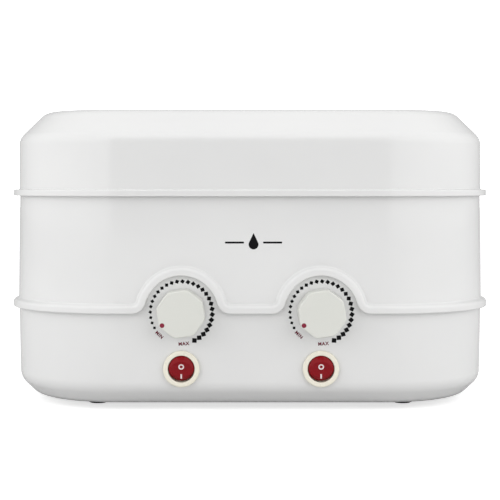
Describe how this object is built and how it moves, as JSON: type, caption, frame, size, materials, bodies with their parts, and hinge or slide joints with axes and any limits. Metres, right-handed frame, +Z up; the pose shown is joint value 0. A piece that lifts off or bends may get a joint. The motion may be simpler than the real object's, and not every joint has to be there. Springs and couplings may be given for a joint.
{
  "type": "twin wax heater",
  "caption": "Table-top wax heater: rounded white housing, bevelled common lid, lift-out pots in heated wells, front dials and rocker switches.",
  "frame": {"origin": "on the table, in the middle of the space that the heater takes up", "axes": "+Z up, front faces -Y, +X to the right seen from the front"},
  "size_m": [0.319, 0.2013, 0.192],
  "materials": {
    "white_gloss": "glossy white moulded plastic",
    "knob_plastic": "satin off-white moulded plastic",
    "pointer_red": "printed dark red dot",
    "bezel_plastic": "ivory moulded plastic",
    "rocker_red": "glossy dark red plastic",
    "aluminium": "spun aluminium",
    "zinc_steel": "zinc-plated steel",
    "heater_steel": "heat-tinted steel band",
    "black_plastic": "fine-grained black plastic",
    "brass": "plain brass",
    "grey_rubber": "dull grey rubber",
    "wire_sleeve": "glass-fibre wire sleeve"
  },
  "bodies": {
    "housing": {"base_shell": "white_gloss", "upper_housing": "white_gloss", "deck": "white_gloss", "well_left": "aluminium", "well_right": "aluminium", "band_heater_left": "heater_steel", "band_heater_right": "heater_steel", "clamp_screw_left": "zinc_steel", "clamp_screw_right": "zinc_steel", "thermal_fuse_left": "zinc_steel", "thermal_fuse_right": "zinc_steel", "thermostat_left": "black_plastic", "thermostat_right": "black_plastic", "thermostat_nut_left": "zinc_steel", "thermostat_nut_right": "zinc_steel", "switch_body_left": "bezel_plastic", "switch_body_right": "bezel_plastic", "foot_front_left": "grey_rubber", "foot_rear_left": "grey_rubber", "foot_front_right": "grey_rubber", "foot_rear_right": "grey_rubber", "case_screw_front_left": "zinc_steel", "case_screw_rear_left": "zinc_steel", "case_screw_front_right": "zinc_steel", "case_screw_rear_right": "zinc_steel", "terminal_block": "bezel_plastic", "inlet_body": "black_plastic", "inlet_pin_neutral": "brass", "inlet_pin_earth": "brass", "inlet_pin_live": "brass", "inlet_screw_left": "zinc_steel", "inlet_screw_right": "zinc_steel", "neutral_lead": "wire_sleeve", "earth_lead": "wire_sleeve", "live_lead": "wire_sleeve", "switch_lead_left": "wire_sleeve", "switch_lead_right": "wire_sleeve", "link_lead_left": "wire_sleeve", "link_lead_right": "wire_sleeve", "heater_lead_left": "wire_sleeve", "heater_lead_right": "wire_sleeve"},
    "lid": {"lid": "white_gloss"},
    "pot_left": {"pot_left": "aluminium"},
    "pot_right": {"pot_right": "aluminium"},
    "bail_left": {"bail_left": "zinc_steel"},
    "bail_right": {"bail_right": "zinc_steel"},
    "dial_left": {"knob_left": "knob_plastic", "pointer_dot_left": "pointer_red", "dial_shaft_left": "zinc_steel"},
    "dial_right": {"knob_right": "knob_plastic", "pointer_dot_right": "pointer_red", "dial_shaft_right": "zinc_steel"},
    "rocker_left": {"rocker_left": "rocker_red"},
    "rocker_right": {"rocker_right": "rocker_red"}
  },
  "joints": [
    {"name": "lid_lift", "type": "slide", "parent": "housing", "child": "lid", "axis": [0, 0, 1], "range_m": [0, 0.15]},
    {"name": "pot_left_lift", "type": "slide", "parent": "housing", "child": "pot_left", "axis": [0, 0, 1], "range_m": [0, 0.045]},
    {"name": "pot_right_lift", "type": "slide", "parent": "housing", "child": "pot_right", "axis": [0, 0, 1], "range_m": [0, 0.045]},
    {"name": "bail_left_swing", "type": "hinge", "parent": "pot_left", "child": "bail_left", "pos_m": [-0.07, 0.00525, 0.133], "axis": [1, 0, 0], "range_deg": [0, 180]},
    {"name": "bail_right_swing", "type": "hinge", "parent": "pot_right", "child": "bail_right", "pos_m": [0.07, 0.00525, 0.133], "axis": [1, 0, 0], "range_deg": [0, 180]},
    {"name": "dial_left_turn", "type": "hinge", "parent": "housing", "child": "dial_left", "pos_m": [-0.0439, -0.09, 0.0631], "axis": [0, 1, 0], "range_deg": [0, 275]},
    {"name": "dial_right_turn", "type": "hinge", "parent": "housing", "child": "dial_right", "pos_m": [0.0439, -0.09, 0.0631], "axis": [0, 1, 0], "range_deg": [0, 275]},
    {"name": "rocker_left_tip", "type": "hinge", "parent": "housing", "child": "rocker_left", "pos_m": [-0.0439, -0.08692, 0.0276], "axis": [-1, 0, 0], "range_deg": [0, 20]},
    {"name": "rocker_right_tip", "type": "hinge", "parent": "housing", "child": "rocker_right", "pos_m": [0.0439, -0.08692, 0.0276], "axis": [-1, 0, 0], "range_deg": [0, 20]}
  ]
}
